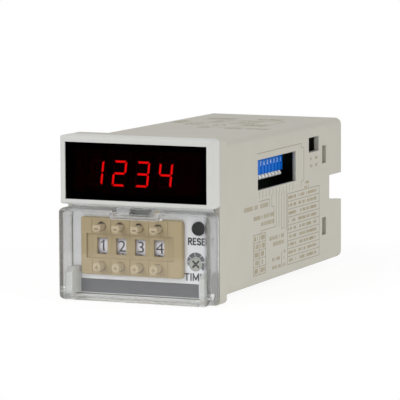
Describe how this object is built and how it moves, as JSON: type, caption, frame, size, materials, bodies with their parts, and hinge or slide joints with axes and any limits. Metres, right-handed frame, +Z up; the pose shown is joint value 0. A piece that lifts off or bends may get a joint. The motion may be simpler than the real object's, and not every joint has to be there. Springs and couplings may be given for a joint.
{
  "type": "panel counter",
  "caption": "Square-front digital panel counter with a display, push-wheel preset switches under a hinged clear cover, side switches and rear screw terminals.",
  "frame": {"origin": "centre of the panel seat, the plane of the front frame's rear face", "axes": "+X right seen from the front, +Y into the panel, +Z up"},
  "size_m": [0.048, 0.1053, 0.048],
  "materials": {
    "housing_plastic": "fine even texture",
    "terminal_plastic": "fine even texture",
    "front_plastic": "smooth satin",
    "label_sheet": "printed film",
    "smoked_lens": "polished, dark",
    "led_module": "moulded",
    "clear_plastic": "polished, clear",
    "board_laminate": "coated laminate",
    "preset_plastic": "satin",
    "button_plastic": "satin",
    "wheel_plastic": "satin",
    "black_plastic": "satin",
    "grey_plastic": "satin",
    "blue_plastic": "moulded",
    "white_plastic": "satin",
    "coil_core": "varnished laminations",
    "capacitor_can": "sleeved",
    "plated_steel": "zinc plated"
  },
  "bodies": {
    "case": {"housing": "housing_plastic", "terminal_block": "terminal_plastic", "front_panel": "front_plastic", "display_bezel": "front_plastic", "front_label": "label_sheet", "display_lens": "smoked_lens", "display_board": "board_laminate", "control_board": "board_laminate", "main_board": "board_laminate", "power_board": "board_laminate", "led_digit_1": "led_module", "led_digit_2": "led_module", "led_digit_3": "led_module", "led_digit_4": "led_module", "reset_switch": "black_plastic", "slide_switch_body": "black_plastic", "microcontroller": "black_plastic", "relay": "black_plastic", "trimmer_body": "blue_plastic", "dip_switch_body": "blue_plastic", "end_plate_left": "preset_plastic", "end_plate_right": "preset_plastic", "thumbwheel_unit_1": "preset_plastic", "thumbwheel_unit_2": "preset_plastic", "thumbwheel_unit_3": "preset_plastic", "thumbwheel_unit_4": "preset_plastic", "transformer": "coil_core", "capacitor": "capacitor_can", "terminal_clamps": "plated_steel", "terminal_screws": "plated_steel"},
    "cover": {"clear_cover": "clear_plastic"},
    "reset": {"reset_button": "black_plastic"},
    "trimmer": {"trimmer_rotor": "grey_plastic"},
    "slide_knob": {"slide_switch_knob": "black_plastic"},
    "wheel_1": {"number_wheel_1": "wheel_plastic"},
    "minus_1": {"minus_button_1": "button_plastic"},
    "plus_1": {"plus_button_1": "button_plastic"},
    "wheel_2": {"number_wheel_2": "wheel_plastic"},
    "minus_2": {"minus_button_2": "button_plastic"},
    "plus_2": {"plus_button_2": "button_plastic"},
    "wheel_3": {"number_wheel_3": "wheel_plastic"},
    "minus_3": {"minus_button_3": "button_plastic"},
    "plus_3": {"plus_button_3": "button_plastic"},
    "wheel_4": {"number_wheel_4": "wheel_plastic"},
    "minus_4": {"minus_button_4": "button_plastic"},
    "plus_4": {"plus_button_4": "button_plastic"},
    "key_1": {"dip_key_1": "white_plastic"},
    "key_2": {"dip_key_2": "white_plastic"},
    "key_3": {"dip_key_3": "white_plastic"},
    "key_4": {"dip_key_4": "white_plastic"},
    "key_5": {"dip_key_5": "white_plastic"},
    "key_6": {"dip_key_6": "white_plastic"},
    "key_7": {"dip_key_7": "white_plastic"},
    "key_8": {"dip_key_8": "white_plastic"},
    "key_9": {"dip_key_9": "white_plastic"},
    "key_10": {"dip_key_10": "white_plastic"}
  },
  "joints": [
    {"name": "cover_hinge", "type": "hinge", "parent": "case", "child": "cover", "pos_m": [0, -0.009, -0.0207], "axis": [1, 0, 0], "range_deg": [0, 95]},
    {"name": "reset_press", "type": "slide", "parent": "case", "child": "reset", "axis": [0, 1, 0], "range_m": [0, 0.0005], "stiffness_N_per_m": 400},
    {"name": "trimmer_turn", "type": "hinge", "parent": "case", "child": "trimmer", "pos_m": [0.01665, -0.005, -0.0123], "axis": [0, 1, 0], "range_deg": [-135, 135]},
    {"name": "slide_switch_move", "type": "slide", "parent": "case", "child": "slide_knob", "axis": [0, 1, 0], "range_m": [0, 0.0024]},
    {"name": "wheel_1_turn", "type": "hinge", "parent": "case", "child": "wheel_1", "pos_m": [-0.0124, 0.0011, -0.0082], "axis": [1, 0, 0], "continuous": true},
    {"name": "minus_1_press", "type": "slide", "parent": "case", "child": "minus_1", "axis": [0, 1, 0], "range_m": [0, 0.0016], "stiffness_N_per_m": 400},
    {"name": "plus_1_press", "type": "slide", "parent": "case", "child": "plus_1", "axis": [0, 1, 0], "range_m": [0, 0.0016], "stiffness_N_per_m": 400},
    {"name": "wheel_2_turn", "type": "hinge", "parent": "case", "child": "wheel_2", "pos_m": [-0.0064, 0.0011, -0.0082], "axis": [1, 0, 0], "continuous": true},
    {"name": "minus_2_press", "type": "slide", "parent": "case", "child": "minus_2", "axis": [0, 1, 0], "range_m": [0, 0.0016], "stiffness_N_per_m": 400},
    {"name": "plus_2_press", "type": "slide", "parent": "case", "child": "plus_2", "axis": [0, 1, 0], "range_m": [0, 0.0016], "stiffness_N_per_m": 400},
    {"name": "wheel_3_turn", "type": "hinge", "parent": "case", "child": "wheel_3", "pos_m": [-0.0004, 0.0011, -0.0082], "axis": [1, 0, 0], "continuous": true},
    {"name": "minus_3_press", "type": "slide", "parent": "case", "child": "minus_3", "axis": [0, 1, 0], "range_m": [0, 0.0016], "stiffness_N_per_m": 400},
    {"name": "plus_3_press", "type": "slide", "parent": "case", "child": "plus_3", "axis": [0, 1, 0], "range_m": [0, 0.0016], "stiffness_N_per_m": 400},
    {"name": "wheel_4_turn", "type": "hinge", "parent": "case", "child": "wheel_4", "pos_m": [0.0056, 0.0011, -0.0082], "axis": [1, 0, 0], "continuous": true},
    {"name": "minus_4_press", "type": "slide", "parent": "case", "child": "minus_4", "axis": [0, 1, 0], "range_m": [0, 0.0016], "stiffness_N_per_m": 400},
    {"name": "plus_4_press", "type": "slide", "parent": "case", "child": "plus_4", "axis": [0, 1, 0], "range_m": [0, 0.0016], "stiffness_N_per_m": 400},
    {"name": "key_1_flip", "type": "hinge", "parent": "case", "child": "key_1", "pos_m": [0.01585, 0.05323, 0.0109], "axis": [0, 1, 0], "range_deg": [0, 40]},
    {"name": "key_2_flip", "type": "hinge", "parent": "case", "child": "key_2", "pos_m": [0.01585, 0.05069, 0.0109], "axis": [0, 1, 0], "range_deg": [0, 40]},
    {"name": "key_3_flip", "type": "hinge", "parent": "case", "child": "key_3", "pos_m": [0.01585, 0.04815, 0.0109], "axis": [0, 1, 0], "range_deg": [0, 40]},
    {"name": "key_4_flip", "type": "hinge", "parent": "case", "child": "key_4", "pos_m": [0.01585, 0.04561, 0.0109], "axis": [0, 1, 0], "range_deg": [0, 40]},
    {"name": "key_5_flip", "type": "hinge", "parent": "case", "child": "key_5", "pos_m": [0.01585, 0.04307, 0.0109], "axis": [0, 1, 0], "range_deg": [0, 40]},
    {"name": "key_6_flip", "type": "hinge", "parent": "case", "child": "key_6", "pos_m": [0.01585, 0.04053, 0.0109], "axis": [0, 1, 0], "range_deg": [0, 40]},
    {"name": "key_7_flip", "type": "hinge", "parent": "case", "child": "key_7", "pos_m": [0.01585, 0.03799, 0.0109], "axis": [0, 1, 0], "range_deg": [0, 40]},
    {"name": "key_8_flip", "type": "hinge", "parent": "case", "child": "key_8", "pos_m": [0.01585, 0.03545, 0.0109], "axis": [0, 1, 0], "range_deg": [0, 40]},
    {"name": "key_9_flip", "type": "hinge", "parent": "case", "child": "key_9", "pos_m": [0.01585, 0.03291, 0.0109], "axis": [0, 1, 0], "range_deg": [0, 40]},
    {"name": "key_10_flip", "type": "hinge", "parent": "case", "child": "key_10", "pos_m": [0.01585, 0.03037, 0.0109], "axis": [0, 1, 0], "range_deg": [0, 40]}
  ]
}
